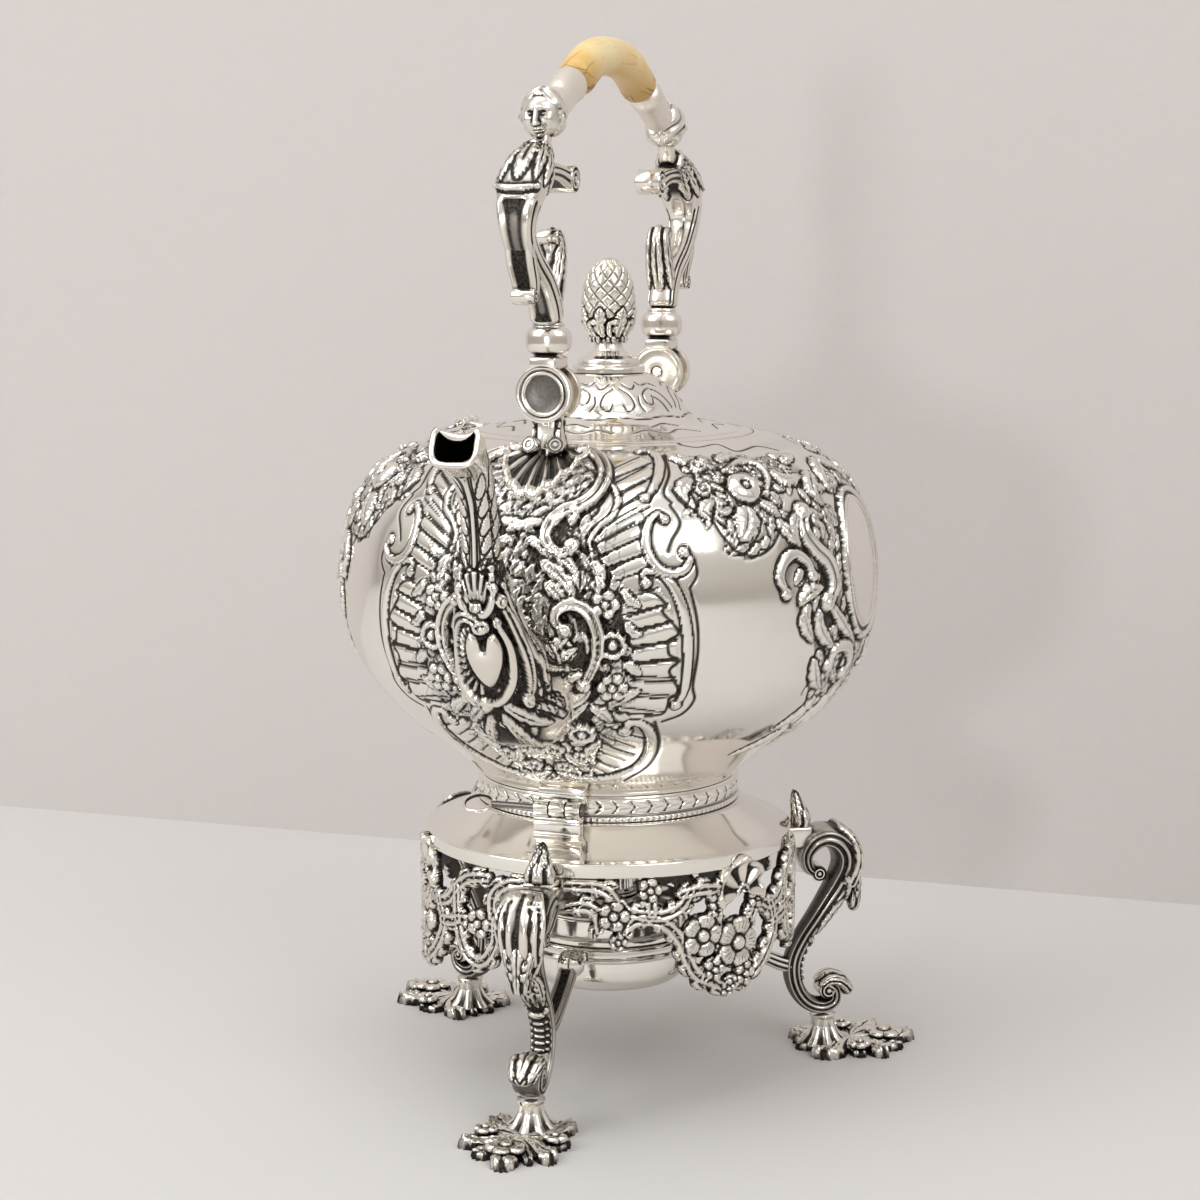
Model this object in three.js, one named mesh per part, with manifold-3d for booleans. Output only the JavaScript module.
// Silver tea kettle with a hinged lid and a swing handle, on a three-legged spirit-lamp stand.
// Millimetres, +Z up. Kettle, stand and lamp share one upright axis, and the spout points to -Y.
import * as THREE from 'three';
import { mergeVertices } from 'three/addons/utils/BufferGeometryUtils.js';
import Module from 'manifold-3d';

const wasm = await Module();
wasm.setup();

// Clearances shared by the whole assembly
const fitGap = 0.3;
const lidGap = 0.4;
const overrun = 5;
const weldReach = 1e-4;
const facetTolerance = 0.12;
const castTolerance = 0.4;

// Stand: a plain dome on a flange, carried by three scroll legs
const standRadius = 70;
const legHeight = 91;
const flangeHeight = 5.2;
const domeRise = 10.5;
const standWall = 1.6;
const seatRadius = 50.8;
const flameHoleRadius = 42;
const domeShares = [[0.036, 0.9], [0.27, 0.6], [0.583, 0.26], [0.818, 0.08], [1, 0]];

// Pierced apron between the legs
const apronDrop = 46;
const apronThickness = 2.6;
const apronScrollWidth = 4.4;
const apronBossHeight = 2.4;
const crestReach = 12.6;
const crestRise = 2.6;
const crestSpread = 2.9;

// Scroll legs and their feet
const legReach = 30;
const legThickness = 10;
const legWidth = 19;
const legScrollShares = [
  [0.45, 0.78, 0.36, 0.42], [0.317, 0.808, 0.48, 0.53], [0.267, 0.868, 0.6, 0.68], [0.35, 0.925, 0.8, 0.89],
  [0.51, 0.949, 0.88, 0.98], [0.683, 0.93, 0.94, 1], [0.8, 0.879, 1, 0.95], [0.82, 0.813, 1, 0.79],
  [0.733, 0.736, 1, 0.63], [0.61, 0.668, 0.92, 0.53], [0.44, 0.585, 0.8, 0.47], [0.263, 0.499, 0.74, 0.44],
  [0.143, 0.41, 0.72, 0.42], [0.133, 0.33, 0.7, 0.41], [0.21, 0.256, 0.66, 0.41], [0.353, 0.205, 0.64, 0.42],
  [0.533, 0.189, 0.62, 0.46], [0.677, 0.215, 0.56, 0.53], [0.673, 0.267, 0.52, 0.58], [0.56, 0.288, 0.44, 0.53],
];
const legLeafShares = [
  [0.85, 0.835, 0.4, 0.63], [0.953, 0.769, 0.32, 0.58], [0.96, 0.698, 0.32, 0.42], [0.933, 0.635, 0.48, 0.34],
  [0.873, 0.618, 0.3, 0.26],
];
const legSprigShares = [
  [0.183, 0.962, 0.52, 0.47], [0.217, 1.022, 0.64, 0.53], [0.167, 1.082, 0.4, 0.32], [0.117, 1.154, 0.14, 0.08],
];
const legRollShares = [
  [0.467, 0.275, 0.4, 0.53], [0.6, 0.311, 0.44, 0.63], [0.767, 0.297, 0.44, 0.61], [0.907, 0.236, 0.48, 0.42],
];
const rootWidth = 11.4;
const rootHeight = 8.3;
const rootDepth = 10;
const rootInset = 3.6;
const footLength = 56;
const footWidth = 44;
const footPlateThickness = 2.8;
const footOut = 28;
const ankleRadius = 4.6;
const ankleFlareRadius = 10;
const ankleOut = 16.6;
const budRadius = 5;
const budHeight = 4.4;

// Lamp ring and its three arms
const lampRingRadius = 31;
const lampRingWidth = 3.4;
const lampRingHeight = 6;
const lampRingLevelShare = 0.5308;
const armThickness = 10;
const armWidth = 10;
const armBallRadius = 5.4;
const armBallShare = 0.2217;
const armShares = [
  [1, 0.368, 0.6, 0.64], [0.83, 0.39, 0.58, 0.68], [0.63, 0.434, 0.52, 0.64], [0.43, 0.492, 0.56, 0.6],
  [0.27, 0.549, 0.64, 0.64],
];

// Spirit lamp
const potRadius = 30.5;
const potHeight = 29;
const potWall = 1.3;
const potBeadShare = 0.68;
const potBeadWidth = 2.1;
const potBeadHeight = 2;
const coverRise = 2.4;
const coverWall = 1.2;
const coverLip = 0.9;
const skirtDepth = 3;
const wickTubeRadius = 9.1;
const wickTubeWall = 2.5;
const wickTubeDepth = 14;
const wickTubeRise = 5;
const wickCollarWidth = 2.4;
const wickCollarHeight = 0.9;
const wickGap = 0.4;
const wickDepth = 10;
const wickRise = 1.5;
const snufferWall = 1.2;
const snufferHeight = 9.6;
const snufferKnobRadius = 2.6;
const snufferKnobHeight = 5.5;

// Kettle shell
const kettleRadius = 100;
const neckRadius = 48.5;
const shellHeight = 129.5;
const equatorHeight = 72.5;
const kettleWall = 1.6;
const lowerShellShares = [[0, 0], [0.05, 0.04], [0.28, 0.18], [0.585, 0.35], [0.828, 0.55], [0.962, 0.77], [1, 1]];
const upperShellShares = [[0, 0], [0.02, 0.25], [0.1, 0.51], [0.28, 0.74], [0.52, 0.88], [0.74, 0.955], [1, 1]];
const footRingHeight = 9.2;
const footRingRadius = 50;
const footRingWall = 4;
const footRingShares = [[0.7, 0], [1, 0.06], [0.86, 0.2], [0.7, 0.26], [0.9, 0.34], [0.9, 0.86], [0.64, 0.95], [0.64, 1]];
const strainerHoleRadius = 2.5;
const strainerPitch = 9;
const strainerHeight = 52;

// Chased ornament that stands on the body: scrolls as [width share, [turn, up], ...] and bosses as
// [turn, up, size], with turns in shares of half a round from the spout and heights in shares of the shell
const chasedWidth = 6;
const chasedRise = 2.4;
const chasedRoot = 0.68;
const bossRadius = 6;
const bossCrown = 0.7;
const chasedScrollShares = [
  [0.8, [0.145, 0.66], [0.165, 0.69], [0.19, 0.58], [0.193, 0.45], [0.185, 0.32]],
  [0.9, [0.13, 0.25], [0.155, 0.27], [0.165, 0.16], [0.12, 0.09], [0.067, 0.07]],
  [0.8, [0.169, 0.82], [0.149, 0.79], [0.155, 0.71], [0.187, 0.69]],
  [1, [0.075, 0.96], [0.098, 0.92], [0.074, 0.86], [0.037, 0.82], [0.039, 0.75], [0.062, 0.76]],
  [1, [0.05, 0.56], [0.065, 0.6], [0.09, 0.54], [0.075, 0.39]],
  [1.3, [0.03, 0.3], [0.06, 0.33], [0.085, 0.38]],
  [1.1, [0.363, 0.82], [0.365, 0.74], [0.395, 0.64], [0.384, 0.56]],
  [1.1, [0.345, 0.6], [0.385, 0.54], [0.463, 0.43]],
  [1, [0.42, 0.31], [0.4, 0.23], [0.34, 0.13]],
  [1.8, [0.278, 0.86], [0.26, 0.76]],
];
const chasedBossShares = [[0.105, 0.5, 1.2], [0.286, 0.89, 1.1]];
const ovalPlaceShares = [0.5, 0.65];
const ovalSizeShares = [0.075, 0.21];
const ovalWidthShare = 0.6;

// Rim that the lid rests on, inside the kettle's mouth
const rimDrop = 1.9;
const rimLedge = 4;
const rimFlangeWidth = 2.7;
const rimFlangeDrop = 0.7;
const rimFlangeThickness = 1;
const rimTubeWall = 1.2;
const rimTubeDepth = 7;

// Lid
const lidRadius = 54.2;
const lidWall = 1.5;
const lidRise = 22;
const lidShares = [
  [1, 0], [0.812, 0.1], [0.627, 0.227], [0.54, 0.386], [0.504, 0.545], [0.415, 0.773], [0.304, 0.955], [0.25, 1],
];
const lidTubeDepth = 5;
const lidTubeWall = 1;
const lidTubeGap = 0.6;

// Finial and the nut that holds it
const finialRadius = 13.7;
const finialHeight = 42.4;
const finialShares = [
  [1, 0], [1, 0.052], [0.85, 0.06], [0.82, 0.113], [0.61, 0.14], [0.38, 0.23], [0.39, 0.3], [0.63, 0.42],
  [0.72, 0.6], [0.66, 0.76], [0.46, 0.9], [0.2, 0.98], [0, 1],
];
const finialStudRadius = 2;
const finialNutRadius = 4.6;
const finialNutHeight = 3;

// Lid hinge on the kettle's left shoulder
const lidHingeReach = 57;
const lidHingeRise = 2;
const lidKnuckleRadius = 1.9;
const lidPinRadius = 0.9;
const lidHingeWidth = 16;
const lidLeafReach = 8;
const lidLeafThickness = 1.3;

// Spout
const spoutInset = 16;
const spoutReach = 72;
const spoutRise = 89.5;
const spoutLevel = 59;
const spoutDepth = 48;
const spoutWidth = 40;
const spoutWall = 1.5;
const spoutShares = [
  [-0.35, 0.06, 0.8, 0.9], [0, 0, 1, 1], [0.18, 0.02, 0.92, 0.95], [0.33, 0.08, 0.71, 0.75], [0.47, 0.18, 0.52, 0.59],
  [0.58, 0.31, 0.37, 0.47], [0.646, 0.436, 0.3, 0.41], [0.66, 0.536, 0.27, 0.32], [0.674, 0.648, 0.25, 0.29],
  [0.708, 0.771, 0.25, 0.29], [0.792, 0.883, 0.27, 0.32], [0.903, 0.955, 0.27, 0.39], [1, 0.998, 0.23, 0.43],
];

// Swing handle, in shares of its bulge beyond the pivots and its rise above them
const pivotOut = 11.4;
const pivotRise = 18.5;
const drumRadius = 10.2;
const drumDepth = 13.2;
const cheekThickness = 3.2;
const knuckleRadius = 7.5;
const pivotPinRadius = 2;
const dishRadius = 7.4;
const dishDepth = 1.5;
const bridgeHeight = 4.4;
const bridgeWidth = 10;
const handleBulge = 33.325;
const handleRise = 120;
const handleThickness = 23;
const handleWidth = 20;
const collarRadius = 8.6;
const collarHeight = 13;
const collarLevel = 12;
const collarSquash = 0.75;
const collarShares = [[0, 0], [0.6, 0], [0.62, 0.19], [0.96, 0.34], [0.96, 0.76], [0.62, 0.89], [0.6, 1], [0, 1]];
const scrollShares = [
  [0.015, 0.196, 0.45, 0.54], [0.088, 0.263, 0.46, 0.52], [0.294, 0.329, 0.42, 0.5], [0.618, 0.388, 0.4, 0.5],
  [0.853, 0.454, 0.42, 0.52], [0.897, 0.521, 0.46, 0.66], [0.765, 0.592, 0.52, 0.88], [0.529, 0.654, 0.5, 0.72],
  [0.309, 0.708, 0.48, 0.52], [0.162, 0.755, 0.5, 0.52],
];
const tailShares = [
  [0.868, 0.479, 0.26, 0.46], [0.794, 0.396, 0.32, 0.48], [0.676, 0.333, 0.3, 0.44], [0.653, 0.292, 0.26, 0.38],
  [0.75, 0.278, 0.2, 0.36],
];
const leafShares = [
  [0.059, 0.254, 0.35, 0.5], [-0.044, 0.329, 0.32, 0.48], [-0.118, 0.396, 0.28, 0.44],
  [-0.103, 0.446, 0.28, 0.4], [0, 0.458, 0.2, 0.34],
];
const innerScrollShares = [
  [0.647, 0.637, 0.4, 0.55], [0.294, 0.642, 0.32, 0.48], [-0.059, 0.637, 0.3, 0.46],
  [-0.353, 0.621, 0.38, 0.48], [-0.456, 0.618, 0.38, 0.48],
];
const headPlaceShares = [0.118, 0.7875];
const headRadius = 8.5;
const headLength = 20;
const headDepth = 18.4;
const ferrulePlaceShares = [-0.265, 0.8375];
const ferruleRadius = 6;
const ferruleFlare = 1;
const gripPlaceShares = [-0.794, 0.904];
const gripTopShare = 0.9967;
const gripRadius = 7.1;
const ferruleShares = [[0, 0], [0.5, 0.62], [1, 1]];
const gripShares = [[-1.12, -0.24], [-0.55, 0.76], [0, 1], [0.55, 0.76], [1.12, -0.24]];

// Shell brackets that carry the handle
const bracketReach = 27;
const bracketInset = 6;
const bracketWidth = 31;
const bracketThickness = 3.2;
const postWidth = 10.6;
const postDepth = 9;

// Hinge that joins kettle and stand under the spout
const hingeOut = 7;
const hingeHeight = 6;
const hingeKnuckleRadius = 2.8;
const hingeWidth = 18;
const hingeMiddleWidth = 6;
const hingeBoreRadius = 1.6;
const hingePinRadius = 1.3;
const hingePinReach = 17;
const hingePinHead = 0.6;
const standLeafThickness = 4;
const kettleLeafThickness = 3.6;
const kettleLeafHeight = 5.5;
const kettleLeafDrop = 1.5;
const pullRingRadius = 5.5;
const pullRingWire = 0.8;
const pullRingTilt = 20;

// Facet counts. The round ones are multiples of four, so a cut made on any side of the kettle fits its facets.
const roundSides = 24;
const lampSides = 16;
const smallRoundSides = 12;
const tinyRoundSides = 10;
const barSides = 8;
const reliefSides = 6;
const shellSteps = 11;
const shellLiningSteps = 6;
const apronFacets = 9;
const apronFacetCells = 3;
const apronRows = 11;
const spoutSteps = 16;
const chasedSteps = 1;
const ovalSteps = 4;
const footLobes = 8;
const bracketRibs = 9;
const crestRibs = 6;

// Heights that follow from the sizes above
const seatHeight = legHeight + flangeHeight + domeRise + fitGap;
const shellBase = footRingHeight + fitGap;
const mouthHeight = shellBase + shellHeight;
const mouthRadius = lidRadius + lidGap;
const spoutRoot = kettleRadius - spoutInset;
const pivotReach = mouthRadius + pivotOut;
const pivotHeight = mouthHeight + pivotRise;
const hingeReach = footRingRadius + hingeOut;
const footReach = standRadius + footOut;
const ankleReach = standRadius + ankleOut;
const lampRingLevel = legHeight * lampRingLevelShare;
const handlePlace = ([along, up]) => [pivotReach + along * handleBulge, up * handleRise];
const [headReach, headLevel] = handlePlace(headPlaceShares);
const [ferruleReach, ferruleLevel] = handlePlace(ferrulePlaceShares);
const [gripReach, gripLevel] = handlePlace(gripPlaceShares);
const gripRise = gripTopShare * handleRise;
const soleDrop = Math.min(...legScrollShares.map(([, up, thick]) => up * legHeight - thick * legThickness / 2));
const lampLevel = lampRingLevel + lampRingHeight + fitGap;
const potBase = lampLevel - potHeight * potBeadShare;

// Finishes
const finish = (color, roughness, metalness) =>
  new THREE.MeshStandardMaterial({ color, roughness, metalness, flatShading: true });
const polishedSilver = finish('#d9d3c9', 0.16, 1);
const castSilver = finish('#b7b0a5', 0.3, 1);
const ivory = finish('#ead7a6', 0.42, 0);
const cotton = finish('#e9e3d3', 0.9, 0);

// Makes a manifold solid of a closed geometry, with its faces turned outwards.
function solidOf(geometry) {
  const bare = new THREE.BufferGeometry();
  bare.setAttribute('position', geometry.getAttribute('position').clone());
  if (geometry.index) bare.setIndex(geometry.index.clone());
  const merged = mergeVertices(bare, weldReach);
  const triangles = [];
  for (let i = 0; i < merged.index.count; i += 3) {
    const corner = [0, 1, 2].map((k) => merged.index.getX(i + k));
    if (new Set(corner).size === 3) triangles.push(...corner);
  }
  const build = (triVerts) => new wasm.Manifold(new wasm.Mesh({
    numProp: 3,
    vertProperties: new Float32Array(merged.attributes.position.array),
    triVerts: new Uint32Array(triVerts),
  }));
  const made = build(triangles);
  return made.volume() < 0 ? build(triangles.reverse()) : made;
}

function solidFrom(positions, triangles) {
  const geometry = new THREE.BufferGeometry();
  geometry.setAttribute('position', new THREE.Float32BufferAttribute(positions, 3));
  geometry.setIndex(triangles);
  return solidOf(geometry);
}

function geometryOf(solid) {
  const mesh = solid.getMesh();
  const geometry = new THREE.BufferGeometry();
  geometry.setAttribute('position', new THREE.BufferAttribute(new Float32Array(mesh.vertProperties), 3));
  geometry.setIndex(new THREE.BufferAttribute(new Uint32Array(mesh.triVerts), 1));
  geometry.computeVertexNormals();
  return geometry;
}

const join = (...solids) => solids.reduce((all, one) => all.add(one));

// Adds a solid to a group as a named mesh, without the facets too flat to see.
function piece(group, name, solid, material) {
  const mesh = new THREE.Mesh(geometryOf(solid.simplify(facetTolerance)), material);
  mesh.name = name;
  group.add(mesh);
  return mesh;
}

// Revolves a profile of [radius, height] points round the upright axis.
function turned(points, sides = roundSides) {
  const outline = points.map(([radius, height]) => new THREE.Vector2(radius, height));
  return solidOf(new THREE.LatheGeometry(outline, sides).rotateX(Math.PI / 2));
}

const turnedRing = (points, sides) => turned([...points, points[0]], sides);

// Shifts an open line of [x, z] points sideways, to its left for a positive distance.
function offsetLine(points, distance) {
  const normals = points.slice(1).map(([x, z], i) => {
    const dx = x - points[i][0];
    const dz = z - points[i][1];
    const length = Math.hypot(dx, dz);
    return [-dz / length, dx / length];
  });
  return points.map(([x, z], i) => {
    const before = normals[Math.max(i - 1, 0)];
    const after = normals[Math.min(i, normals.length - 1)];
    const sum = [before[0] + after[0], before[1] + after[1]];
    const scale = 2 / Math.max(sum[0] ** 2 + sum[1] ** 2, 1);
    return [x + sum[0] * scale * distance, z + sum[1] * scale * distance];
  });
}

// Closes a line and its offset into the outline of a wall.
const walled = (points, thickness) => [...points, ...offsetLine(points, thickness).reverse()];

// Draws a smooth line through [x, z] points.
function smoothLine(points, divisions) {
  const curve = new THREE.SplineCurve(points.map(([x, z]) => new THREE.Vector2(x, z)));
  return curve.getPoints(divisions).map((point) => [point.x, point.y]);
}

// Sweeps an oval section through stations [x, y, z, thickness, width]. Thickness lies in the plane of
// the bend, and width lies across it; a relief bar keeps its thickness towards the side it faces.
function bar(stations, {
  steps, sides = barSides, to = 1, across = new THREE.Vector3(0, 1, 0), facing = null, grow = 0,
}) {
  const path = new THREE.CatmullRomCurve3(stations.map((s) => new THREE.Vector3(s[0], s[1], s[2])));
  const size = new THREE.CatmullRomCurve3(stations.map((s) => new THREE.Vector3(s[3], s[4], 0)));
  const positions = [];
  for (let i = 0; i <= steps; i += 1) {
    const centre = path.getPoint((to * i) / steps);
    const half = size.getPoint((to * i) / steps).multiplyScalar(0.5);
    const tangent = path.getTangent((to * i) / steps);
    const wide = facing ? facing.clone().cross(tangent).normalize() : across.clone();
    const thick = tangent.clone().cross(wide).normalize();
    for (let k = 0; k < sides; k += 1) {
      const angle = (2 * Math.PI * (k + 0.5)) / sides;
      positions.push(...centre.clone()
        .addScaledVector(thick, Math.cos(angle) * (half.x + grow))
        .addScaledVector(wide, Math.sin(angle) * (half.y + grow)).toArray());
    }
  }
  const first = path.getPoint(0);
  const last = path.getPoint(to);
  positions.push(...first.toArray(), ...last.toArray());
  const startCap = (steps + 1) * sides;
  const triangles = [];
  for (let k = 0; k < sides; k += 1) {
    const next = (k + 1) % sides;
    triangles.push(startCap, next, k);
    triangles.push(startCap + 1, steps * sides + k, steps * sides + next);
    for (let i = 0; i < steps; i += 1) {
      const a = i * sides;
      const b = a + sides;
      triangles.push(a + k, a + next, b + next, a + k, b + next, b + k);
    }
  }
  return solidFrom(positions, triangles);
}

// Places shares [along, up, thickness, width] in the plane y = 0.
const stationsOf = (shares, origin, level, reach, rise, thickness, width) =>
  shares.map(([along, up, thick, wide]) =>
    [origin + along * reach, 0, level + up * rise, thick * thickness, wide * width]);

const boxBetween = ([x0, y0, z0], [x1, y1, z1]) =>
  solidOf(new THREE.BoxGeometry(x1 - x0, y1 - y0, z1 - z0)
    .translate((x0 + x1) / 2, (y0 + y1) / 2, (z0 + z1) / 2));

// A rod from one end to the other along an axis through a point: 'x', 'y' or 'z'.
function rod(axis, radius, from, to, at, sides = smallRoundSides) {
  const geometry = new THREE.CylinderGeometry(radius, radius, to - from, sides);
  if (axis === 'x') geometry.rotateZ(Math.PI / 2).translate((from + to) / 2, at[0], at[1]);
  if (axis === 'y') geometry.translate(at[0], (from + to) / 2, at[1]);
  if (axis === 'z') geometry.rotateX(Math.PI / 2).translate(at[0], at[1], (from + to) / 2);
  return solidOf(geometry);
}

// Extrudes an outline of [x, y] points upwards between two levels.
function prism(points, from, to) {
  const shape = new THREE.Shape(points.map(([x, y]) => new THREE.Vector2(x, y)));
  return solidOf(new THREE.ExtrudeGeometry(shape, { depth: to - from, bevelEnabled: false }).translate(0, 0, from));
}

// Extrudes an outline of [x, z] points across the plane y = 0.
function slab(points, width) {
  const shape = new THREE.Shape(points.map(([x, z]) => new THREE.Vector2(x, z)));
  const geometry = new THREE.ExtrudeGeometry(shape, { depth: width, bevelEnabled: false });
  return solidOf(geometry.translate(0, 0, -width / 2).rotateX(Math.PI / 2));
}

// A group whose +X points outwards at a bearing, counted from the spout side towards +X.
function radialGroup(parent, bearing) {
  const group = new THREE.Group();
  group.rotation.z = THREE.MathUtils.degToRad(bearing - 90);
  parent.add(group);
  return group;
}

function levelGroup(parent, level) {
  const group = new THREE.Group();
  group.position.z = level;
  parent.add(group);
  return group;
}

// Kettle shell outline from the bottom's centre to the mouth, in the kettle's own height
const shellCurve = (steps) => [
  [0, shellBase],
  ...smoothLine([
    ...lowerShellShares.map(([r, z]) => [
      neckRadius + r * (kettleRadius - neckRadius), shellBase + z * equatorHeight]),
    ...upperShellShares.slice(1).map(([r, z]) => [
      kettleRadius - r * (kettleRadius - mouthRadius),
      shellBase + equatorHeight + z * (shellHeight - equatorHeight)]),
  ], steps),
];
const shellLine = shellCurve(shellSteps);

// The kettle's outer form, filled, with its skin moved out by some distance
const kettleForm = (distance) => {
  const skin = offsetLine(shellLine, -distance);
  return turned([[0, skin[0][1]], ...skin.slice(1), [0, skin.at(-1)[1]]]);
};

// A place on the skin, in the middle of its facets, with its outward direction
function skinPlace([turn, up]) {
  const level = shellBase + up * shellHeight;
  const above = shellLine.findIndex(([, z], i) => i > 1 && z >= level);
  const [[r0, z0], [r1, z1]] = [shellLine[above - 1], shellLine[above]];
  const reach = (r0 + ((level - z0) / (z1 - z0)) * (r1 - r0)) * Math.cos(Math.PI / roundSides);
  const slope = new THREE.Vector2(z1 - z0, r0 - r1).normalize();
  const angle = (turn - 1 / 2) * Math.PI;
  const out = new THREE.Vector3(Math.cos(angle), Math.sin(angle), 0);
  return {
    at: out.clone().multiplyScalar(reach).setZ(level),
    normal: out.clone().multiplyScalar(slope.x).setZ(slope.y),
  };
}

// A raised scroll along places on the skin, its root sunk in the shell's wall
function chasedScroll([width, ...places], rise = chasedRise, steps = chasedSteps * (places.length - 1)) {
  const curve = new THREE.SplineCurve(places.map(([turn, up]) => new THREE.Vector2(turn, up)));
  const stations = curve.getPoints(steps).map((spot) => skinPlace(spot.toArray()));
  const half = (width * chasedWidth) / 2;
  const positions = stations.flatMap(({ at, normal }, i) => {
    const along = stations[Math.min(i + 1, steps)].at.clone().sub(stations[Math.max(i - 1, 0)].at);
    const side = normal.clone().cross(along).normalize();
    return [[-1, -chasedRoot], [1, -chasedRoot], [0, rise]].flatMap(([across, out]) =>
      at.clone().addScaledVector(side, across * half).addScaledVector(normal, out).toArray());
  });
  const last = 3 * steps;
  const triangles = [0, 2, 1, last, last + 1, last + 2];
  for (let a = 0; a < last; a += 1) {
    const b = a % 3 === 2 ? a - 2 : a + 1;
    triangles.push(a, b, b + 3, a, b + 3, a + 3);
  }
  return solidFrom(positions, triangles);
}

// A flower or fruit of the ornament, as a low boss
function chasedBoss([turn, up, size]) {
  const { at, normal } = skinPlace([turn, up]);
  const radius = size * bossRadius;
  const stand = new THREE.Matrix4().makeTranslation(at)
    .multiply(new THREE.Matrix4().makeRotationFromQuaternion(
      new THREE.Quaternion().setFromUnitVectors(new THREE.Vector3(0, 0, 1), normal)));
  const outline = [[0, -chasedRoot], [radius, -chasedRoot], [radius * bossCrown, chasedRise], [0, chasedRise]];
  return solidOf(new THREE.LatheGeometry(outline.map(([r, z]) => new THREE.Vector2(r, z)), reliefSides)
    .rotateX(Math.PI / 2).applyMatrix4(stand));
}

// The ornament round the body, drawn once and repeated on both sides and at the back. It stays clear of the
// spout, the handle's brackets and the lid's hinge.
function chasing() {
  const turns = [(turn) => turn, (turn) => -turn, (turn) => 1 - turn, (turn) => 1 + turn];
  const drawn = turns.flatMap((turned) => [
    ...chasedScrollShares.map(([width, ...places]) =>
      chasedScroll([width, ...places.map(([turn, up]) => [turned(turn), up])])),
    ...chasedBossShares.map(([turn, up, size]) => chasedBoss([turned(turn), up, size])),
  ]);
  const ovals = [1, -1].flatMap((side) => [0, 1].map((half) => {
    const places = [];
    for (let i = -1; i <= ovalSteps * 2 + 1; i += 1) {
      const angle = Math.PI * (half + i / (ovalSteps * 2));
      places.push([side * (ovalPlaceShares[0] + ovalSizeShares[0] * Math.cos(angle)),
        ovalPlaceShares[1] + ovalSizeShares[1] * Math.sin(angle)]);
    }
    return chasedScroll([ovalWidthShare, ...places], chasedRise / 2, ovalSteps);
  }));
  const bracketEnd = pivotReach - cheekThickness + bracketReach + fitGap;
  const bracketHalf = bracketWidth / 2 + fitGap;
  const seatEnd = lidHingeReach + lidKnuckleRadius + lidLeafReach + fitGap * 2;
  const seatHalf = lidHingeWidth / 2 + fitGap;
  const clear = [
    spoutForm(fitGap).rotate([0, 0, -90]),
    boxBetween([-bracketHalf, -bracketEnd, equatorHeight], [bracketHalf, bracketEnd, mouthHeight + overrun]),
    boxBetween([-seatEnd, -seatHalf, equatorHeight], [0, seatHalf, mouthHeight + overrun]),
  ];
  return clear.reduce((rest, one) => rest.subtract(one), join(...drawn, ...ovals));
}

function kettleBody() {
  const lining = offsetLine(shellCurve(shellLiningSteps), kettleWall).reverse();
  const shell = turned([...shellLine, ...lining.map(([r, z]) => [Math.max(r, 0), z])]);
  const holes = [[0, 0]];
  for (let i = 0; i < 6; i += 1) {
    const angle = (i * Math.PI) / 3;
    holes.push([strainerPitch * Math.cos(angle), strainerPitch * Math.sin(angle)]);
  }
  return holes.reduce((body, [x, z]) => body.subtract(
    rod('y', strainerHoleRadius, -kettleRadius - overrun, -neckRadius, [x, shellBase + strainerHeight + z], barSides),
  ), join(shell, chasing())).simplify(castTolerance);
}

function footRing() {
  const inner = footRingRadius - footRingWall;
  const outer = footRingShares.map(([r, z]) => [inner + r * footRingWall, z * footRingHeight]);
  return turnedRing([[inner, 0], ...outer, [inner, footRingHeight]]);
}

function mouthRim() {
  const top = mouthHeight - rimDrop;
  const inner = lidRadius - rimLedge;
  const flangeTop = top - rimFlangeDrop;
  const flangeBottom = flangeTop - rimFlangeThickness;
  return turnedRing([
    [inner, top], [lidRadius, top], [lidRadius, flangeTop], [lidRadius + rimFlangeWidth, flangeTop],
    [lidRadius + rimFlangeWidth, flangeBottom], [inner + rimTubeWall, flangeBottom],
    [inner + rimTubeWall, top - rimTubeDepth], [inner, top - rimTubeDepth],
  ]);
}

// Lid outline from the rim to the finial's seat, counted from the mouth's level
const lidLine = lidShares.map(([r, z]) => [r * lidRadius, z * lidRise]);

// The lid's outer form, filled, with its skin moved out by some distance
const lidForm = (distance) => {
  const skin = offsetLine(lidLine, -distance);
  return turned([[0, -lidTubeDepth], [skin[0][0], -lidTubeDepth], ...skin, [0, skin.at(-1)[1]]]);
};

function lidCover() {
  const hub = [finialStudRadius + fitGap, lidRise];
  const lining = offsetLine([...lidLine.filter((point, i) => i % 2 === 0 || point === lidLine.at(-1)), hub], lidWall);
  const cover = turnedRing([...lidLine, hub, ...lining.reverse()]);
  const inner = lidRadius - rimLedge - lidTubeGap;
  const tube = turnedRing([
    [inner - lidTubeWall, -lidTubeDepth - rimDrop], [inner, -lidTubeDepth - rimDrop],
    [inner, 0], [inner - lidTubeWall, 0],
  ]);
  return join(cover, tube);
}

function finial() {
  const seat = lidRise + fitGap;
  const bud = turned(
    [[0, seat], ...finialShares.map(([r, z]) => [r * finialRadius, seat + z * finialHeight])], smallRoundSides);
  const studEnd = lidRise - lidWall - fitGap - finialNutHeight - fitGap;
  return join(bud, rod('z', finialStudRadius, studEnd, seat + fitGap, [0, 0], tinyRoundSides));
}

function finialNut() {
  const top = lidRise - lidWall - fitGap;
  const hole = finialStudRadius + fitGap;
  return turnedRing([
    [hole, top - finialNutHeight], [finialNutRadius, top - finialNutHeight], [finialNutRadius, top], [hole, top],
  ], reliefSides);
}

// The lid's hinge lies along the rim, so its pin points across the radial plane.
const lidHingeLevel = mouthHeight + lidHingeRise;
const lidMiddleHalf = lidHingeWidth / 2 - lidLeafReach * 0.6;

function lidHingeKnuckle(from, to, level) {
  return rod('y', lidKnuckleRadius, from, to, [lidHingeReach, level], tinyRoundSides);
}

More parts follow.
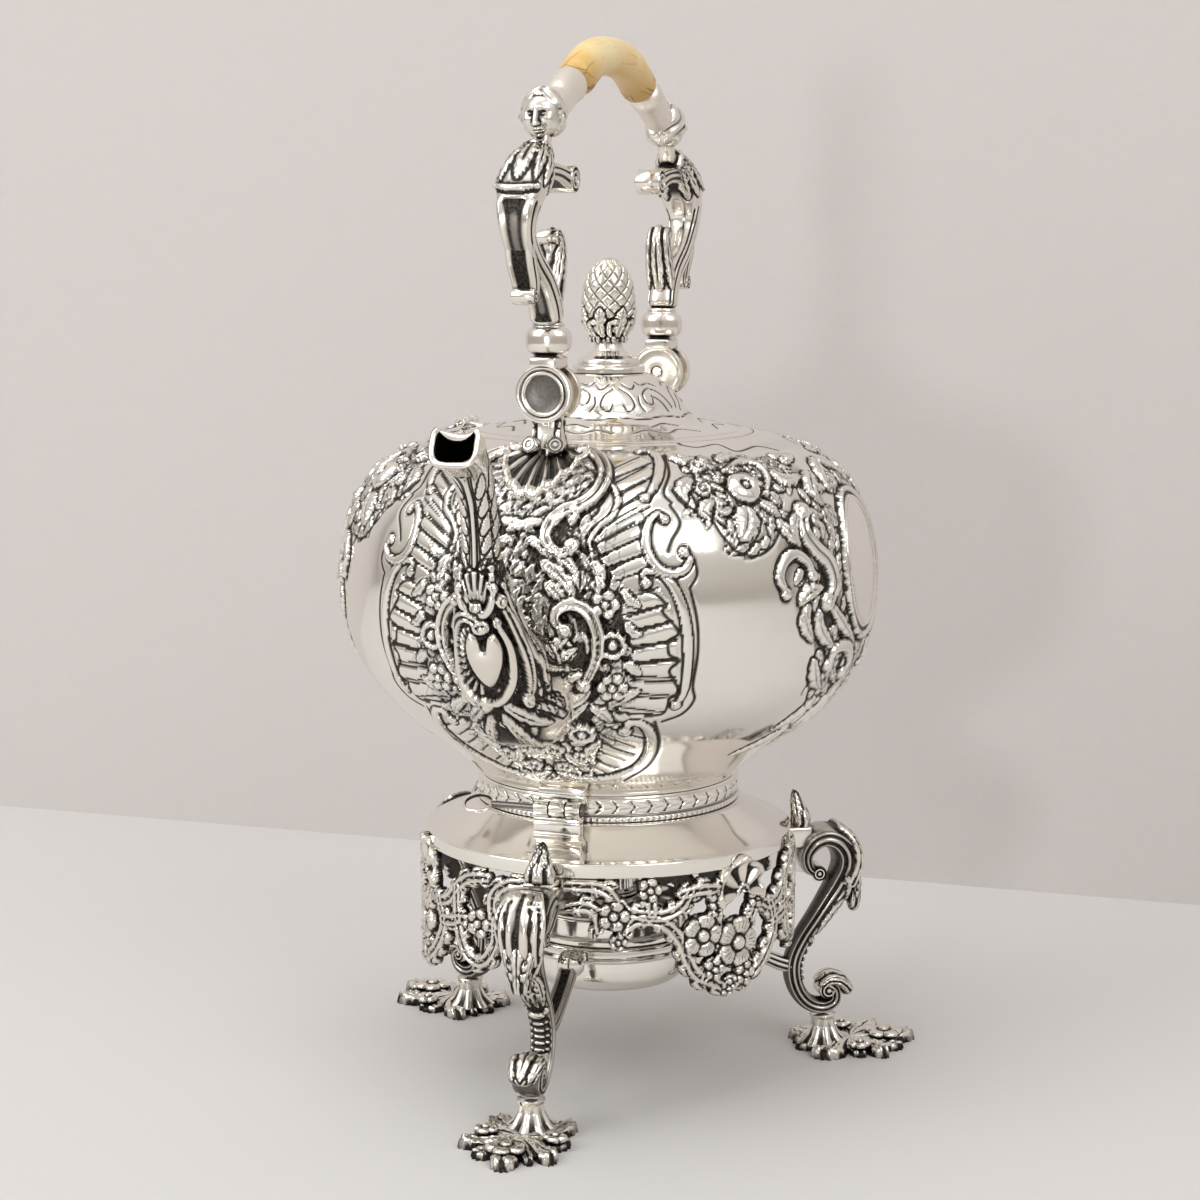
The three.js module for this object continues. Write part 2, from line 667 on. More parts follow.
const lidHingeBore = (level) =>
  rod('y', lidPinRadius + fitGap, -lidHingeWidth, lidHingeWidth, [lidHingeReach, level], tinyRoundSides);

function lidHingeLeaf() {
  const half = lidMiddleHalf;
  const start = lidHingeReach - lidLeafReach;
  const arm = slab([
    [start, 0], [lidHingeReach, lidHingeRise - lidLeafThickness / 2],
    [lidHingeReach, lidHingeRise + lidLeafThickness], [start, lidHingeRise + lidLeafThickness / 2],
  ], 2 * half).subtract(lidForm(fitGap));
  return join(arm, lidHingeKnuckle(-half, half, lidHingeRise)).subtract(lidHingeBore(lidHingeRise));
}

function lidHingeSeat() {
  const half = lidHingeWidth / 2;
  const inner = lidMiddleHalf + fitGap;
  const from = lidHingeReach + lidKnuckleRadius + fitGap;
  const patch = kettleForm(fitGap + lidLeafThickness).intersect(
    prism([[from, -half], [from + lidLeafReach, -half * 0.7], [from + lidLeafReach, half * 0.7], [from, half]],
      equatorHeight, mouthHeight + overrun));
  const ears = [-1, 1].map((side) => {
    const [near, far] = side < 0 ? [-half, -inner] : [inner, half];
    const web = boxBetween([lidHingeReach, near, lidHingeLevel - lidHingeRise - lidKnuckleRadius],
      [from + lidLeafThickness, far, lidHingeLevel]);
    return join(web, lidHingeKnuckle(near, far, lidHingeLevel));
  });
  return join(patch, ...ears).subtract(kettleForm(fitGap)).subtract(lidHingeBore(lidHingeLevel));
}

// Spout, with its root cut to the kettle's skin and a bore that runs on through the mouth
const spoutStations = (wall) => stationsOf(
  [...spoutShares, [1.09, 1.03, 0.23, 0.43]], spoutRoot, spoutLevel, spoutReach, spoutRise, spoutDepth, spoutWidth)
  .map(([x, y, z, thick, wide]) => [x, y, z, thick - 2 * wall, wide - 2 * wall]);

function spoutForm(grow = 0) {
  return bar(spoutStations(0), {
    steps: spoutSteps, sides: tinyRoundSides, to: (spoutShares.length - 1) / spoutShares.length, grow });
}

function spout() {
  const bore = bar(spoutStations(spoutWall), { steps: spoutSteps, sides: barSides });
  return spoutForm().subtract(bore).subtract(kettleForm(fitGap));
}

// Handle casting on one side, in the radial plane of its pivot, with heights counted from the pivots
function handleHead(grow = 0) {
  return solidOf(new THREE.SphereGeometry(1, tinyRoundSides, reliefSides).rotateX(Math.PI / 2)
    .scale(headDepth / 2 + grow, headRadius + grow, headLength / 2 + grow)
    .translate(headReach, 0, headLevel));
}

function handleCasting() {
  const at = (shares) => stationsOf(shares, pivotReach, 0, handleBulge, handleRise, handleThickness / 2, handleWidth / 2)
    .map(([x, y, z, thick, wide]) => [x, y, z, 2 * thick, 2 * wide]);
  const outerFace = pivotReach + drumDepth / 2;
  const innerFace = pivotReach - drumDepth / 2;
  const dish = turned([
    [0, -dishDepth], [dishRadius * 0.6, -dishDepth * 0.75], [dishRadius, 0], [dishRadius, dishDepth], [0, dishDepth],
  ], smallRoundSides).rotate([0, 90, 0]).translate([outerFace, 0, 0]);
  const outerCheek = rod('x', drumRadius, outerFace - cheekThickness, outerFace, [0, 0]).subtract(dish);
  const innerCheek = rod('x', drumRadius, innerFace, innerFace + cheekThickness, [0, 0]);
  const bridge = boxBetween([innerFace, -bridgeWidth / 2, knuckleRadius + fitGap * 3],
    [outerFace, bridgeWidth / 2, knuckleRadius + fitGap * 3 + bridgeHeight]);
  const pinHole = rod('x', pivotPinRadius + fitGap, innerFace - overrun, outerFace - dishDepth - fitGap * 2, [0, 0],
    tinyRoundSides);
  const collar = solidOf(new THREE.LatheGeometry(
    collarShares.map(([r, z]) => new THREE.Vector2(r * collarRadius, z * collarHeight)), tinyRoundSides)
    .rotateX(Math.PI / 2).scale(collarSquash, 1, 1).translate(pivotReach, 0, collarLevel));
  const volute = rod('y', handleThickness * 0.21, -handleWidth * 0.26, handleWidth * 0.26,
    handlePlace(innerScrollShares.at(-1)), tinyRoundSides);
  return join(
    outerCheek, innerCheek, bridge, collar, volute, handleHead(),
    bar(at(scrollShares), { steps: 12 }),
    bar(at(tailShares), { steps: 4, sides: reliefSides }),
    bar(at(leafShares), { steps: 4, sides: reliefSides }),
    bar(at(innerScrollShares), { steps: 4, sides: reliefSides }),
  ).simplify(castTolerance).subtract(pinHole);
}

function handlePin() {
  const outerEnd = pivotReach + drumDepth / 2 - dishDepth - fitGap * 3;
  return rod('x', pivotPinRadius, pivotReach - drumDepth / 2, outerEnd, [0, 0], tinyRoundSides);
}

// The grip and its ferrules meet on planes square to the ferrules.
const gripSeat = new THREE.Vector2(gripReach - ferruleReach, gripLevel - ferruleLevel).normalize();
const gripSeatOffset = gripSeat.dot(new THREE.Vector2(gripReach, gripLevel));

function ferrule() {
  const stations = [...ferruleShares, [1.15, 1.15]].map(([along, up]) => {
    const width = 2 * (ferruleRadius + along * ferruleFlare);
    return [ferruleReach + along * (gripReach - ferruleReach), 0,
      ferruleLevel + up * (gripLevel - ferruleLevel), width, width];
  });
  const lead = [headReach - headDepth / 4, 0, headLevel + (ferruleLevel - headLevel) / 2,
    2 * ferruleRadius, 2 * ferruleRadius];
  return bar([lead, ...stations], { steps: 6, sides: tinyRoundSides })
    .trimByPlane([-gripSeat.x, 0, -gripSeat.y], fitGap / 2 - gripSeatOffset)
    .subtract(handleHead(fitGap));
}

function handleGrip() {
  const stations = gripShares.map(([along, up]) => [
    0, along * gripReach, gripLevel + up * (gripRise - gripLevel), 2 * gripRadius, 2 * gripRadius]);
  const whole = bar(stations, { steps: 12, sides: tinyRoundSides, across: new THREE.Vector3(1, 0, 0) });
  return [1, -1].reduce((rest, side) => rest.trimByPlane(
    [0, side * gripSeat.x, gripSeat.y], gripSeatOffset + fitGap / 2), whole);
}

// Bracket: a shell plate that follows the shoulder, a post, and the knuckle between the drum's cheeks
function handleBracket() {
  const outline = [];
  for (let i = 0; i <= bracketRibs * 2; i += 1) {
    const angle = -Math.PI / 2 + (i * Math.PI) / (bracketRibs * 2);
    const lobe = i % 2 === 0 ? 0.93 : 1;
    outline.push([
      pivotReach - cheekThickness + bracketReach * lobe * Math.cos(angle), (bracketWidth / 2) * lobe * Math.sin(angle)]);
  }
  outline.push([pivotReach - cheekThickness - bracketInset, bracketWidth * 0.35]);
  outline.push([pivotReach - cheekThickness - bracketInset, -bracketWidth * 0.35]);
  const plate = kettleForm(fitGap + bracketThickness).intersect(prism(outline, equatorHeight, pivotHeight));
  const gap = fitGap;
  const knuckleHalf = drumDepth / 2 - cheekThickness - gap;
  const post = boxBetween([pivotReach - knuckleHalf, -postWidth / 2, mouthHeight - postDepth],
    [pivotReach + knuckleHalf, postWidth / 2, pivotHeight]);
  const base = boxBetween([pivotReach - postDepth / 2, -postWidth * 0.65, mouthHeight - postDepth],
    [pivotReach + postDepth / 2, postWidth * 0.65, pivotHeight - drumRadius - gap * 2]);
  const knuckle = rod('x', knuckleRadius, pivotReach - knuckleHalf, pivotReach + knuckleHalf, [0, pivotHeight]);
  const bore = rod('x', pivotPinRadius + gap, pivotReach - drumDepth, pivotReach + drumDepth, [0, pivotHeight],
    tinyRoundSides);
  return join(plate, base, post, knuckle).subtract(kettleForm(gap)).subtract(bore);
}

// Stand
const seatTop = legHeight + flangeHeight + domeRise;
const domeLine = [
  [flameHoleRadius, seatTop], [seatRadius, seatTop],
  ...domeShares.map(([r, z]) => [
    seatRadius + r * (standRadius - seatRadius), legHeight + flangeHeight + z * domeRise]),
  [standRadius, legHeight],
];

const standRing = () => {
  const lining = offsetLine(domeLine.filter((point, i) => i !== 2 && i !== 4), -standWall);
  return turnedRing([...domeLine, ...lining.reverse()]);
};

const domeForm = (distance) => {
  const skin = offsetLine(domeLine, distance);
  const [rim] = skin.slice(-1);
  return turned([[0, legHeight - overrun], [rim[0], legHeight - overrun], ...skin.reverse(), [0, skin.at(-1)[1]]]);
};

// Leg: a double scroll with a ribbed knee, a hanging leaf, a sprig above and a rolled leaf at the ankle
const legStations = (shares) => stationsOf(shares, standRadius, 0, legReach, legHeight, legThickness, legWidth);

function legScroll(grow = 0) {
  return bar(legStations(legScrollShares), { steps: 17, grow });
}

function leg() {
  const rootTop = legHeight - fitGap;
  const root = boxBetween([standRadius - rootInset, -rootWidth / 2, rootTop - rootHeight],
    [standRadius + rootDepth, rootWidth / 2, rootTop]);
  return join(
    legScroll(),
    bar(legStations(legLeafShares), { steps: 4, sides: reliefSides }),
    bar(legStations(legSprigShares), { steps: 4, sides: reliefSides }),
    bar(legStations(legRollShares), { steps: 4, sides: reliefSides }),
  ).simplify(castTolerance).add(root);
}

function foot() {
  const outline = [];
  for (let i = 0; i < footLobes * 3; i += 1) {
    const angle = (i * 2 * Math.PI) / (footLobes * 3);
    const lobe = i % 3 === 0 ? 0.86 : 1;
    outline.push([
      footReach + (footLength / 2) * lobe * Math.cos(angle), (footWidth / 2) * lobe * Math.sin(angle)]);
  }
  const plate = prism(outline, 0, footPlateThickness);
  const top = soleDrop - fitGap;
  const ankle = turned([
    [0, footPlateThickness / 2], [ankleFlareRadius, footPlateThickness / 2], [ankleFlareRadius, footPlateThickness],
    [ankleFlareRadius * 0.7, top * 0.45], [ankleRadius * 1.1, top * 0.75], [ankleRadius, top], [0, top],
  ], tinyRoundSides).translate([ankleReach, 0, 0]);
  const buds = [[0.26, 0], [0.08, 0.22], [0.08, -0.22], [0.4, 0]].map(([along, side]) => turned([
    [0, footPlateThickness / 2], [budRadius, footPlateThickness / 2], [budRadius * 0.8, footPlateThickness + budHeight * 0.6],
    [0, footPlateThickness + budHeight],
  ], reliefSides).translate([footReach + along * footLength, side * footWidth, 0]));
  return join(plate, ankle, ...buds);
}

const lampRing = () => {
  const outer = lampRingRadius + lampRingWidth;
  const groove = lampRingWidth * 0.3;
  const at = (share) => lampRingLevel + share * lampRingHeight;
  return turnedRing([
    [lampRingRadius, at(0)], [outer - groove, at(0)], [outer, at(0.2)], [outer - groove, at(0.5)], [outer, at(0.8)],
    [outer - groove, at(1)], [lampRingRadius, at(1)],
  ], lampSides);
};

function lampArm() {
  const ringEdge = lampRingRadius + lampRingWidth;
  const level = lampRingLevel + lampRingHeight / 2;
  const armReach = standRadius + armWidth / 2 - ringEdge;
  const armBallReach = ringEdge + armBallShare * armReach;
  const arm = bar(stationsOf(armShares, ringEdge, 0, armReach, legHeight, armThickness, armWidth),
    { steps: 7, sides: reliefSides });
  const ball = solidOf(new THREE.SphereGeometry(armBallRadius, barSides, reliefSides)
    .translate(armBallReach, 0, level));
  const neck = rod('x', lampRingHeight * 0.36, ringEdge + fitGap, armBallReach, [0, level], barSides);
  return join(arm, ball, neck).subtract(legScroll(fitGap));
}

// Apron pattern: scrolls in shares of the panel's half length and of its drop, and flowers as
// [along, down, radius, petals], with their radius in shares of the drop
const apronScrollShares = [
  [[-1, -0.055], [-0.9, -0.045], [-0.79, -0.065], [-0.725, -0.15], [-0.72, -0.27]],
  [[-1, -0.24], [-0.9, -0.21], [-0.815, -0.26], [-0.8, -0.4]],
  [[-0.7, -0.5], [-0.66, -0.38], [-0.57, -0.32], [-0.45, -0.37], [-0.366, -0.5], [-0.32, -0.67], [-0.26, -0.81],
    [-0.15, -0.9], [-0.06, -0.965]],
  [[-0.73, -0.22], [-0.58, -0.28], [-0.46, -0.295], [-0.36, -0.24], [-0.305, -0.12]],
  [[-0.53, -0.09], [-0.52, -0.28]],
  [[-0.36, -0.14], [-0.24, -0.12], [-0.1, -0.14]],
  [[-0.13, -0.24], [-0.14, -0.37], [-0.2, -0.5]],
  [[0.165, -0.28], [0.12, -0.41], [0.03, -0.55]],
  [[-0.22, -0.51], [-0.12, -0.57], [0, -0.61]],
  [[0, -0.61], [-0.15, -0.76], [-0.22, -0.85]],
  [[0, -0.61], [0.07, -0.85], [-0.05, -0.96]],
  [[0.165, -0.28], [0.28, -0.37], [0.4, -0.33], [0.49, -0.2], [0.6, -0.1], [0.73, -0.065]],
  [[0.28, -0.33], [0.345, -0.54], [0.285, -0.72], [0.165, -0.87], [0, -0.965]],
  [[1, -0.055], [0.865, -0.09], [0.775, -0.2], [0.775, -0.37], [0.86, -0.49], [0.93, -0.4]],
  [[0.79, -0.39], [0.775, -0.61], [0.69, -0.76], [0.58, -0.74], [0.515, -0.59], [0.49, -0.39], [0.49, -0.2]],
  [[0.5, -0.46], [0.66, -0.46], [0.78, -0.46]],
  [[0.33, -0.52], [0.43, -0.5], [0.51, -0.46]],
];
const apronFlowerShares = [
  [-0.725, -0.29, 0.1, 1], [-0.7, -0.5, 0.065, 1], [-0.53, -0.09, 0.078, 1], [-0.225, -0.51, 0.126, 5],
  [0.005, -0.61, 0.163, 5], [-0.15, -0.76, 0.083, 1], [0.07, -0.85, 0.091, 1], [-0.06, -0.965, 0.065, 1],
  [0.66, -0.46, 0.109, 5], [0.9, -0.45, 0.065, 1], [-0.127, -0.24, 0.074, 1], [0.165, -0.28, 0.078, 1],
];
const crestCentreShares = [0.045, -0.2];

// Distance in mm that a point of the panel lies inside the pattern, negative in the open places
function apronPattern(halfLength) {
  const scrolls = apronScrollShares.map((path) => {
    const curve = new THREE.SplineCurve(path.map(([u, w]) => new THREE.Vector2(u * halfLength, w * apronDrop)));
    return curve.getPoints(path.length * 5);
  });
  const toScroll = (points, spot) => {
    let least = Infinity;
    for (let i = 1; i < points.length; i += 1) {
      const side = points[i].clone().sub(points[i - 1]);
      const share = THREE.MathUtils.clamp(spot.clone().sub(points[i - 1]).dot(side) / side.lengthSq(), 0, 1);
      least = Math.min(least, points[i - 1].clone().addScaledVector(side, share).distanceTo(spot));
    }
    return least;
  };
  const crest = new THREE.Vector2(crestCentreShares[0] * halfLength, crestCentreShares[1] * apronDrop);
  return (u, w) => {
    const spot = new THREE.Vector2(u, w);
    let inside = crestReach * 0.9 - spot.distanceTo(crest);
    for (const points of scrolls) inside = Math.max(inside, apronScrollWidth / 2 - toScroll(points, spot));
    for (const [along, down, size, petals] of apronFlowerShares) {
      const from = spot.clone().sub(new THREE.Vector2(along * halfLength, down * apronDrop));
      const edge = size * apronDrop * (1 + (petals > 1 ? 0.1 * Math.cos(petals * from.angle()) : 0));
      inside = Math.max(inside, edge - from.length());
    }
    return Math.min(inside, halfLength - Math.abs(u), -w);
  };
}

// Cuts a plate along the zero line of a pattern, cell by cell, and gives it two faces through place().
function piercedPlate(pattern, [u0, w0], [u1, w1], columns, rows, place) {
  const spot = (i, j) => [u0 + ((u1 - u0) * i) / columns, w0 + ((w1 - w0) * j) / rows];
  const value = [];
  for (let i = 0; i <= columns; i += 1) {
    value.push([]);
    for (let j = 0; j <= rows; j += 1) value[i].push(pattern(...spot(i, j)) || weldReach);
  }
  const positions = [];
  const known = new Map();
  const vertex = (key, u, w) => {
    if (!known.has(key)) {
      known.set(key, positions.length / 6);
      positions.push(...place(u, w, 0), ...place(u, w, 1));
    }
    return known.get(key);
  };
  const corner = (i, j) => vertex(`corner ${i} ${j}`, ...spot(i, j));
  const crossing = (i, j, k, l) => {
    const share = THREE.MathUtils.clamp(value[i][j] / (value[i][j] - value[k][l]), 0.15, 0.85);
    const [ua, wa] = spot(i, j);
    const [ub, wb] = spot(k, l);
    return vertex(`edge ${i + k} ${j + l}`, ua + share * (ub - ua), wa + share * (wb - wa));
  };
  const triangles = [];
  const face = (ring, walls) => {
    for (let k = 1; k + 1 < ring.length; k += 1) {
      triangles.push(2 * ring[0] + 1, 2 * ring[k] + 1, 2 * ring[k + 1] + 1);
      triangles.push(2 * ring[0], 2 * ring[k + 1], 2 * ring[k]);
    }
    for (const [a, b] of walls) {
      triangles.push(2 * a, 2 * b, 2 * b + 1, 2 * a, 2 * b + 1, 2 * a + 1);
    }
  };
  for (let i = 0; i < columns; i += 1) {
    for (let j = 0; j < rows; j += 1) {
      const around = [[i, j], [i + 1, j], [i + 1, j + 1], [i, j + 1]];
      const inside = around.map(([a, b]) => value[a][b] > 0);
      const count = inside.filter(Boolean).length;
      if (count === 0) continue;
      const ring = [];
      around.forEach(([a, b], k) => {
        const [c, d] = around[(k + 1) % 4];
        if (inside[k]) ring.push({ id: corner(a, b), cut: false });
        if (inside[k] !== inside[(k + 1) % 4]) {
          const id = inside[k] ? crossing(a, b, c, d) : crossing(c, d, a, b);
          ring.push({ id, cut: true, leaving: inside[k] });
        }
      });
      const walls = [];
      ring.forEach((point, k) => {
        const next = ring[(k + 1) % ring.length];
        if (point.cut && point.leaving && next.cut) walls.push([point.id, next.id]);
      });
      face(ring.map((point) => point.id), walls);
    }
  }
  return solidFrom(positions, triangles);
}

function apronPanel() {
  const span = Math.PI / 3 - Math.asin((rootWidth / 2 + fitGap) / standRadius);
  const halfLength = span * standRadius;
  const top = legHeight - fitGap;
  const at = (u, w, radius) => {
    const angle = u / standRadius;
    return [radius * Math.cos(angle), radius * Math.sin(angle), top + w];
  };
  const facet = (2 * halfLength) / apronFacets;
  const onFacet = (u, w, radius) => {
    const from = Math.floor(u / facet) * facet;
    const start = new THREE.Vector3(...at(from, w, radius));
    return start.lerp(new THREE.Vector3(...at(from + facet, w, radius)), (u - from) / facet).toArray();
  };
  const margin = facet;
  const plate = piercedPlate(apronPattern(halfLength), [-halfLength - margin, -apronDrop * 1.1],
    [halfLength + margin, apronDrop * 0.06], (apronFacets + 2) * apronFacetCells, apronRows,
    (u, w, front) => onFacet(u, w, standRadius - (front ? 0 : apronThickness)));
  const legAngle = Math.PI / 3;
  const trimmed = [1, -1].reduce(
    (rest, side) => rest.trimByPlane(
      [Math.sin(legAngle), -side * Math.cos(legAngle), 0], rootWidth / 2 + fitGap),
    plate.simplify(castTolerance).trimByPlane([0, 0, -1], -top));
  const flowers = apronFlowerShares.filter(([, , , petals]) => petals > 1).map(([along, down, size, petals]) => {
    const radius = size * apronDrop;
    const centre = [along * halfLength, down * apronDrop];
    return rosette(petals, (turn, out, rise) => at(
      centre[0] + Math.cos(turn) * out * radius, centre[1] + Math.sin(turn) * out * radius,
      standRadius - apronThickness / 2 + rise * (apronBossHeight + apronThickness / 2)));
  });
  return join(trimmed, ...flowers, apronCrest(halfLength, at));
}

// A low flower: petals round a raised middle, placed by turn, share of its radius and share of its height
function rosette(petals, place) {
  const positions = [...place(0, 0, 0.75), ...place(0, 0, 0)];
  const triangles = [];
  const count = 2 * petals;
  for (let k = 0; k < count; k += 1) {
    const turn = (2 * Math.PI * k) / count;
    const out = k % 2 === 0 ? 1 : 0.72;
    positions.push(...place(turn, out, k % 2 === 0 ? 1 : 0.6), ...place(turn, out * 0.9, 0));
    const [a, b] = [2 + 2 * k, 2 + 2 * ((k + 1) % count)];
    triangles.push(0, a, b, 1, b + 1, a + 1, a, a + 1, b + 1, a, b + 1, b);
  }
  return solidFrom(positions, triangles);
}

// The shell at the top of the apron: ribs that fan out and up, standing clear of the flange
function apronCrest(halfLength, at) {
  const [u0, w0] = [crestCentreShares[0] * halfLength, crestCentreShares[1] * apronDrop];
  const back = apronThickness * 0.3;
  const positions = [...at(u0, w0, standRadius + crestRise * 0.3), ...at(u0, w0, standRadius - back)];
  const triangles = [];
  const count = 2 * crestRibs;
  for (let k = 0; k <= count; k += 1) {
    const lean = (k / count - 0.5) * crestSpread;
    const peak = k % 2 === 1;
    const reach = crestReach * (peak ? 1 : 0.88);
    const spot = [u0 + Math.sin(lean) * reach, w0 + Math.cos(lean) * reach];
    positions.push(...at(...spot, standRadius + crestRise * (peak ? 1 : 0.68)));
    positions.push(...at(...spot, standRadius + crestRise * 0.35));
    const [a, b] = [2 + 2 * k, 4 + 2 * k];
    if (k < count) triangles.push(0, b, a, 1, a + 1, b + 1, a, b + 1, a + 1, a, b, b + 1);
  }
  const last = 2 + 2 * count;
  triangles.push(0, 2, 3, 0, 3, 1, 0, last + 1, last, 0, 1, last + 1);
  return solidFrom(positions, triangles);
}

// Hinge under the spout. Its leaves follow the dome and the foot ring, and one pin joins them.
const standHingeLevel = seatHeight + hingeHeight;
const hingeBore = (level) => rod('y', hingeBoreRadius, -hingeWidth, hingeWidth, [hingeReach, level], tinyRoundSides);
const hingeKnuckle = (from, to, level) => rod('y', hingeKnuckleRadius, from, to, [hingeReach, level], tinyRoundSides);

function standHingeLeaf() {
  const half = hingeWidth / 2;
  const inner = hingeMiddleWidth / 2 + fitGap;
  const leaf = boxBetween(
    [hingeReach - standLeafThickness / 2, -half, legHeight], [hingeReach + standLeafThickness / 2, half, standHingeLevel]);
  const notch = boxBetween([hingeReach - overrun, -inner, standHingeLevel - hingeKnuckleRadius - fitGap],
    [hingeReach + overrun, inner, standHingeLevel + overrun]);
  return join(leaf, hingeKnuckle(-half, half, standHingeLevel)).subtract(notch)
    .subtract(domeForm(fitGap)).subtract(hingeBore(standHingeLevel));
}

function kettleHingeLeaf() {
  const half = hingeMiddleWidth / 2;
  const back = footRingRadius + fitGap;
  const ring = rod('z', back, 0, mouthHeight, [0, 0], roundSides);
  const block = boxBetween([back - overrun, -hingeWidth / 2, hingeHeight + kettleLeafDrop],
    [back + kettleLeafThickness, hingeWidth / 2, hingeHeight + kettleLeafDrop + kettleLeafHeight]);
  const arm = slab([
    [back, hingeHeight + kettleLeafDrop + fitGap], [hingeReach - hingeKnuckleRadius / 2, hingeHeight - hingeKnuckleRadius / 2],
    [hingeReach, hingeHeight + hingeKnuckleRadius], [back + kettleLeafThickness, hingeHeight + kettleLeafDrop + kettleLeafHeight / 2],
    [back, hingeHeight + kettleLeafDrop + kettleLeafHeight / 2],
  ], 2 * half);
  return join(block, arm, hingeKnuckle(-half, half, hingeHeight))
    .subtract(ring).subtract(kettleForm(fitGap)).subtract(hingeBore(hingeHeight));
}

function hingePin() {
  const start = -hingeWidth / 2 - hingePinReach;
  const shank = rod('y', hingePinRadius, start, hingeWidth / 2 + hingePinHead, [0, 0], tinyRoundSides);
  const ring = solidOf(new THREE.TorusGeometry(pullRingRadius, pullRingWire, reliefSides, lampSides)
    .translate(0, start - pullRingRadius + pullRingWire / 2, 0));
  return join(shank, ring).rotate([0, pullRingTilt, 0]).translate([hingeReach, 0, standHingeLevel]);
}

// Spirit lamp, with heights counted from the bottom of its pot
function lampPot() {
  const [r, h, w] = [potRadius, potHeight, potWall];
  const bead = h * potBeadShare;
  return turned([
    [0, 0], [r * 0.72, 0], [r * 0.93, h * 0.06], [r, h * 0.25], [r, bead],
    [r + potBeadWidth, bead], [r + potBeadWidth, bead + potBeadHeight], [r, bead + potBeadHeight * 1.3], [r, h],
    [r - w, h], [r - w, h * 0.3], [r * 0.7, w], [0, w],
  ], lampSides);
}

function lampCover() {
  const skirt = potRadius - potWall - fitGap;
  const seat = potHeight + fitGap;
  const hole = wickTubeRadius + fitGap;
  return turnedRing([
    [hole, seat + coverWall + coverRise], [skirt * 0.7, seat + coverWall + coverRise * 0.65],
    [potRadius + fitGap, seat + coverLip], [potRadius + fitGap, seat], [skirt, seat], [skirt, seat - skirtDepth],
    [skirt - coverWall, seat - skirtDepth], [skirt - coverWall, seat], [hole, seat + coverRise],
  ], lampSides);
}

const wickCollarLevel = potHeight + fitGap + coverWall + coverRise + fitGap;

function wickTube() {
  const inner = wickTubeRadius - wickTubeWall;
  const top = wickCollarLevel + wickCollarHeight;
  return turnedRing([
    [inner, wickCollarLevel - wickTubeDepth], [wickTubeRadius, wickCollarLevel - wickTubeDepth],
    [wickTubeRadius, wickCollarLevel], [wickTubeRadius + wickCollarWidth, wickCollarLevel],
    [wickTubeRadius + wickCollarWidth, top], [wickTubeRadius - wickTubeWall / 2, top],
    [wickTubeRadius - wickTubeWall / 2, top + wickTubeRise], [inner, top + wickTubeRise],
  ], smallRoundSides);
}

const wickTop = wickCollarLevel + wickCollarHeight + wickTubeRise + wickRise;

const wick = () => rod('z', wickTubeRadius - wickTubeWall - wickGap, wickCollarLevel - wickTubeDepth - wickDepth / 2,
  wickTop, [0, 0], tinyRoundSides);

function snufferCap() {
  const inner = wickTubeRadius - wickTubeWall / 2 + fitGap * 2;
  const outer = inner + snufferWall;
  const seat = wickCollarLevel + wickCollarHeight + fitGap;
  const top = seat + snufferHeight;
  return turned([
    [0, wickTop + fitGap * 3], [inner * 0.8, wickTop + fitGap * 2], [inner, wickTop - wickRise], [inner, seat],
    [outer + snufferWall, seat], [outer, seat + snufferWall], [outer, top - snufferHeight * 0.35],
    [outer * 0.7, top - snufferWall / 2], [snufferKnobRadius * 0.6, top], [snufferKnobRadius * 0.6, top + snufferKnobHeight * 0.25],
    [snufferKnobRadius, top + snufferKnobHeight * 0.6], [snufferKnobRadius * 0.7, top + snufferKnobHeight * 0.92],
    [0, top + snufferKnobHeight],
  ], smallRoundSides);
}

// Assembly
const assembly = new THREE.Group();
assembly.name = 'kettle_on_stand';
const stand = levelGroup(assembly, 0);
const kettle = levelGroup(assembly, seatHeight);
const lid = levelGroup(kettle, mouthHeight);
const handle = levelGroup(kettle, pivotHeight);
const lamp = levelGroup(assembly, potBase);

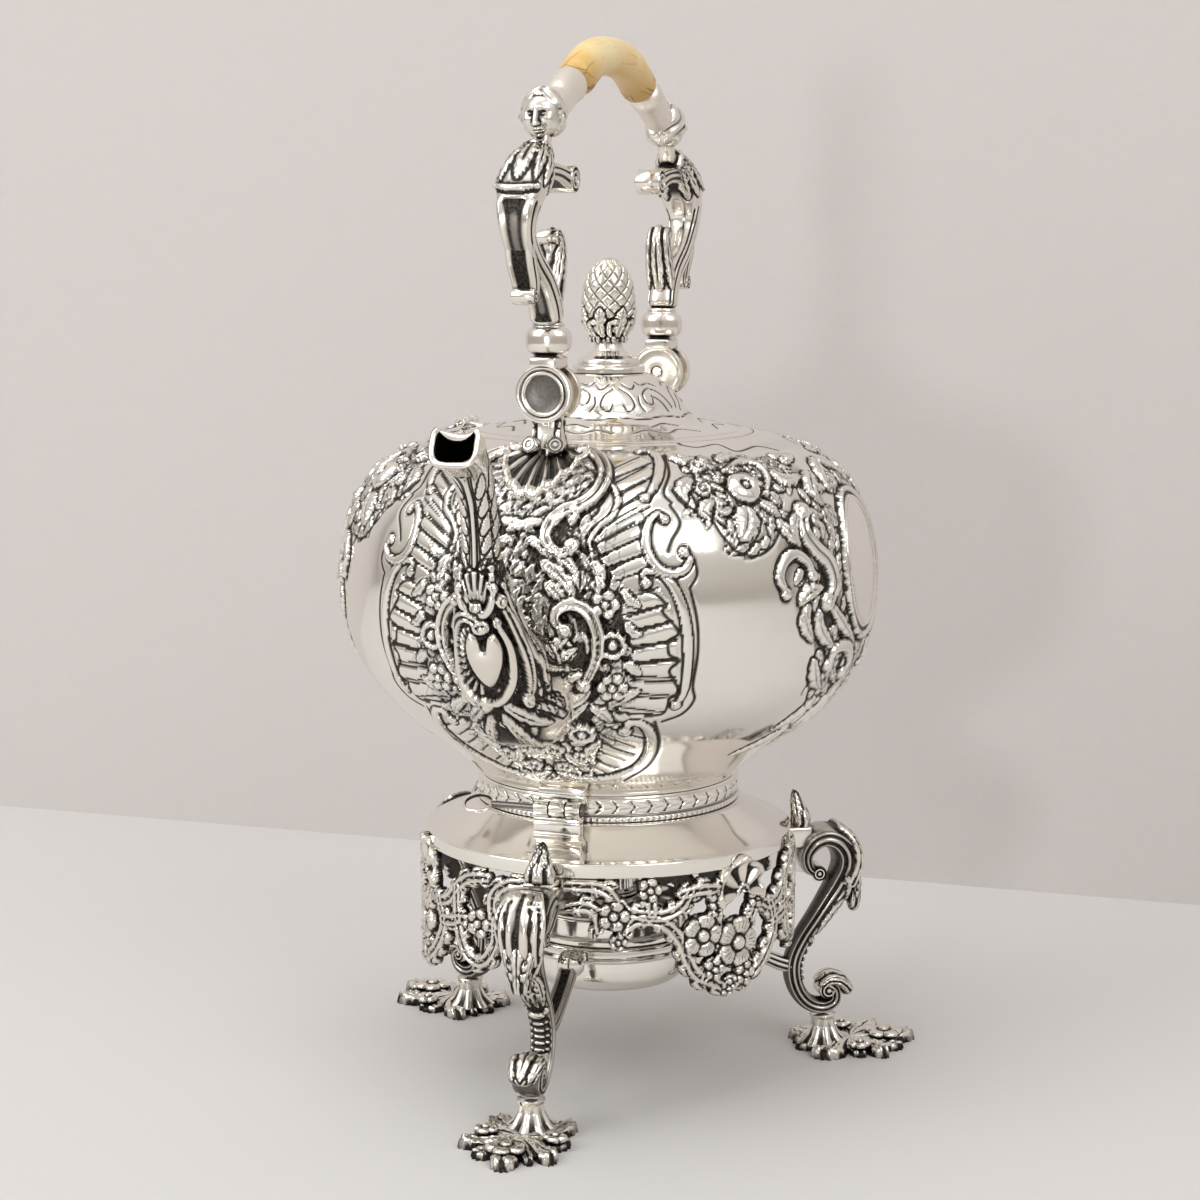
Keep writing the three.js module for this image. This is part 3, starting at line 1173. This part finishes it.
piece(stand, 'stand_ring', standRing(), polishedSilver);
for (const [side, bearing] of [['front', 0], ['right', 120], ['left', -120]]) {
  const corner = radialGroup(stand, bearing);
  piece(corner, `leg_${side}`, leg(), castSilver);
  piece(corner, `foot_${side}`, foot(), castSilver);
  piece(corner, `lamp_arm_${side}`, lampArm(), castSilver);
}
for (const [side, bearing] of [['right', 60], ['back', 180], ['left', -60]]) {
  piece(radialGroup(stand, bearing), `apron_${side}`, apronPanel(), castSilver);
}
piece(stand, 'lamp_ring', lampRing(), polishedSilver);

const front = radialGroup(stand, 0);
piece(front, 'stand_hinge_leaf', standHingeLeaf(), polishedSilver);
piece(front, 'hinge_pin', hingePin(), polishedSilver);

piece(kettle, 'kettle_body', kettleBody(), polishedSilver);
piece(kettle, 'foot_ring', footRing(), polishedSilver);
piece(kettle, 'mouth_rim', mouthRim(), polishedSilver);
piece(radialGroup(kettle, 0), 'spout', spout(), castSilver);
piece(radialGroup(kettle, 0), 'kettle_hinge_leaf', kettleHingeLeaf(), polishedSilver);
piece(radialGroup(kettle, -90), 'lid_hinge_seat', lidHingeSeat(), polishedSilver);

piece(lid, 'lid', lidCover(), polishedSilver);
piece(lid, 'finial', finial(), castSilver);
piece(lid, 'finial_nut', finialNut(), polishedSilver);
piece(radialGroup(lid, -90), 'lid_hinge_leaf', lidHingeLeaf(), polishedSilver);
piece(radialGroup(lid, -90), 'lid_hinge_pin', rod('y', lidPinRadius, -lidHingeWidth / 2, lidHingeWidth / 2,
  [lidHingeReach, lidHingeRise], barSides), polishedSilver);

for (const [side, bearing] of [['front', 0], ['back', 180]]) {
  piece(radialGroup(kettle, bearing), `handle_bracket_${side}`, handleBracket(), castSilver);
  const arm = radialGroup(handle, bearing);
  piece(arm, `handle_scroll_${side}`, handleCasting(), castSilver);
  piece(arm, `handle_pin_${side}`, handlePin(), polishedSilver);
  piece(arm, `ferrule_${side}`, ferrule(), polishedSilver);
}
piece(handle, 'grip', handleGrip(), ivory);

piece(lamp, 'lamp_pot', lampPot(), polishedSilver);
piece(lamp, 'lamp_cover', lampCover(), polishedSilver);
piece(lamp, 'wick_tube', wickTube(), polishedSilver);
piece(lamp, 'wick', wick(), cotton);
piece(lamp, 'snuffer_cap', snufferCap(), polishedSilver);

// The part's origin stands under the middle of its outline, on the table.
assembly.updateMatrixWorld(true);
const reach = new THREE.Box3().setFromObject(assembly, true);
assembly.position.y = -(reach.min.y + reach.max.y) / 2;

export default assembly;
